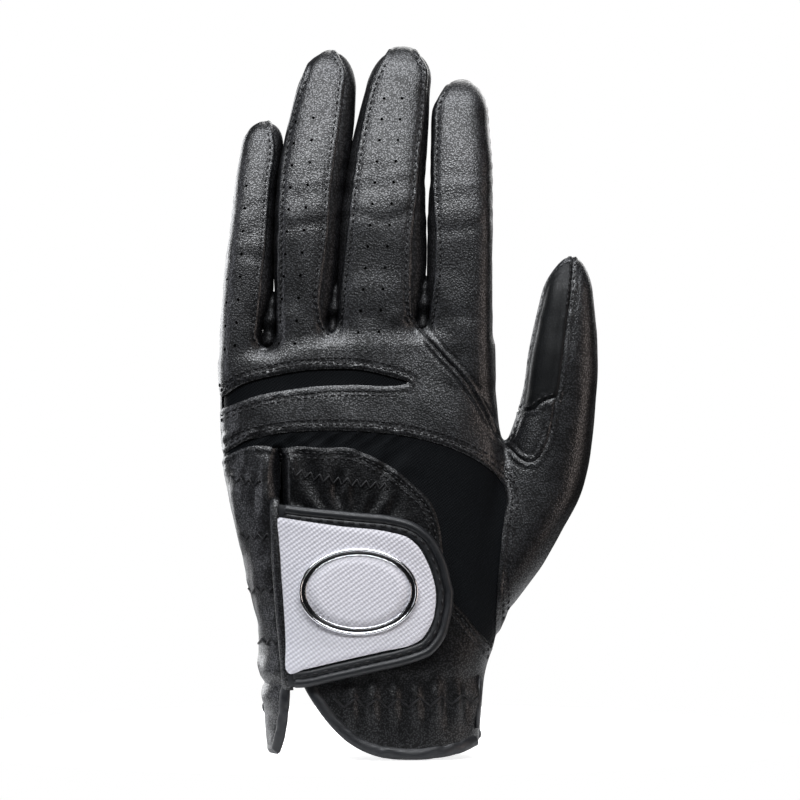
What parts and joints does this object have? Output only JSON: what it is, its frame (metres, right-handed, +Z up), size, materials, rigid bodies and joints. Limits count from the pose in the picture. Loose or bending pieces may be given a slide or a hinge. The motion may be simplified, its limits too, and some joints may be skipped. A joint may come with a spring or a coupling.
{
  "type": "golf glove",
  "caption": "Left-hand golf glove in black grained leather with stretch inserts, perforated fingers and a hook-and-loop wrist tab.",
  "frame": {"origin": "centre of the wrist opening, at the height of the lowest hem", "axes": "+Z up to the fingertips, +X towards the thumb, -Y out of the back of the hand, +Y out of the palm"},
  "size_m": [0.1169, 0.0464, 0.2212],
  "materials": {
    "back_leather": "fine pebble-grain synthetic leather, soft sheen",
    "palm_leather": "smooth thin leather, soft sheen",
    "fourchette_leather": "smooth leather side strips",
    "stretch_knit": "matt twill-faced stretch knit",
    "binding": "folded polyurethane edge binding, satin",
    "white_panel": "embossed diagonal texture, matt",
    "chrome": "polished bevelled rim",
    "emblem_face": "smooth white face with a black inner line",
    "hook_and_loop": "hook and loop pile",
    "thread": "spun sewing thread"
  },
  "bodies": {
    "hand": {"back_leather": "back_leather", "web_leather": "back_leather", "stretch_panel": "stretch_knit", "cuff_side_leather": "back_leather", "cuff_centre_leather": "back_leather", "hem_binding_back": "binding", "tail_binding": "binding", "palm_leather": "palm_leather", "thumb_inner_leather": "palm_leather", "wrist_gather_patch": "palm_leather", "hem_binding_palm": "binding", "knuckle_leather": "back_leather", "slot_stretch": "stretch_knit", "index_knuckle_leather": "back_leather", "palm_knuckle_leather": "palm_leather", "thumb_lower_bend": "back_leather", "loop_patch": "hook_and_loop"},
    "knuckles": {"index_back_leather": "back_leather", "index_palm_leather": "palm_leather", "index_bend": "back_leather", "index_fourchette_ulnar": "fourchette_leather", "middle_back_leather": "back_leather", "middle_palm_leather": "palm_leather", "middle_bend": "back_leather", "middle_fourchette_ulnar": "fourchette_leather", "middle_fourchette_thumb": "fourchette_leather", "ring_back_leather": "back_leather", "ring_palm_leather": "palm_leather", "ring_bend": "back_leather", "ring_fourchette_ulnar": "fourchette_leather", "ring_fourchette_thumb": "fourchette_leather", "little_back_leather": "back_leather", "little_palm_leather": "palm_leather", "little_bend": "back_leather", "little_fourchette_thumb": "fourchette_leather"},
    "index_tip": {"index_tip_back": "back_leather", "index_tip_palm": "palm_leather", "index_tip_fourchette_ulnar": "fourchette_leather"},
    "middle_tip": {"middle_tip_back": "back_leather", "middle_tip_palm": "palm_leather", "middle_tip_fourchette_ulnar": "fourchette_leather", "middle_tip_fourchette_thumb": "fourchette_leather"},
    "ring_tip": {"ring_tip_back": "back_leather", "ring_tip_palm": "palm_leather", "ring_tip_fourchette_ulnar": "fourchette_leather", "ring_tip_fourchette_thumb": "fourchette_leather"},
    "little_tip": {"little_tip_back": "back_leather", "little_tip_palm": "palm_leather", "little_tip_fourchette_thumb": "fourchette_leather"},
    "thumb_base": {"thumb_outer_leather": "back_leather", "thumb_inner_side": "palm_leather", "thumb_bend": "back_leather"},
    "thumb_tip": {"thumb_tip_outer": "back_leather", "thumb_tip_inner": "palm_leather"},
    "tab": {"hook_patch": "hook_and_loop", "tab_leather": "back_leather", "tab_panel": "white_panel", "tab_binding": "binding", "emblem_rim": "chrome", "emblem_plate": "emblem_face"}
  },
  "joints": [
    {"name": "knuckle_fold", "type": "hinge", "parent": "hand", "child": "knuckles", "pos_m": [-0.004, 0.006, 0.118], "axis": [-1, 0, 0], "range_deg": [0, 60], "deforming": ["knuckle_leather", "slot_stretch", "index_knuckle_leather", "palm_knuckle_leather"]},
    {"name": "index_curl", "type": "hinge", "parent": "knuckles", "child": "index_tip", "pos_m": [0.0285, 0.0035, 0.167], "axis": [-0.9999, 0, 0.0104], "range_deg": [0, 80], "deforming": ["index_bend"]},
    {"name": "middle_curl", "type": "hinge", "parent": "knuckles", "child": "middle_tip", "pos_m": [0.0046, 0.0035, 0.17], "axis": [-0.9962, 0, 0.0875], "range_deg": [0, 80], "deforming": ["middle_bend"]},
    {"name": "ring_curl", "type": "hinge", "parent": "knuckles", "child": "ring_tip", "pos_m": [-0.0187, 0.0035, 0.168], "axis": [-0.9952, 0, 0.0975], "range_deg": [0, 80], "deforming": ["ring_bend"]},
    {"name": "little_curl", "type": "hinge", "parent": "knuckles", "child": "little_tip", "pos_m": [-0.0374, 0.003, 0.157], "axis": [-0.9963, 0, 0.0862], "range_deg": [0, 80], "deforming": ["little_bend"]},
    {"name": "thumb_fold", "type": "hinge", "parent": "hand", "child": "thumb_base", "pos_m": [0.058, 0.008, 0.105], "axis": [-0.9539, -0.3, 0], "range_deg": [0, 40], "deforming": ["thumb_lower_bend"]},
    {"name": "thumb_curl", "type": "hinge", "parent": "thumb_base", "child": "thumb_tip", "pos_m": [0.0605, 0.006, 0.127], "axis": [-0.9539, -0.3, 0], "range_deg": [0, 55], "deforming": ["thumb_bend"]},
    {"name": "tab_open", "type": "hinge", "parent": "hand", "child": "tab", "pos_m": [-0.0264, -0.0183, 0.05], "axis": [0.0727, -0.039, -0.9966], "range_deg": [0, 140]}
  ]
}
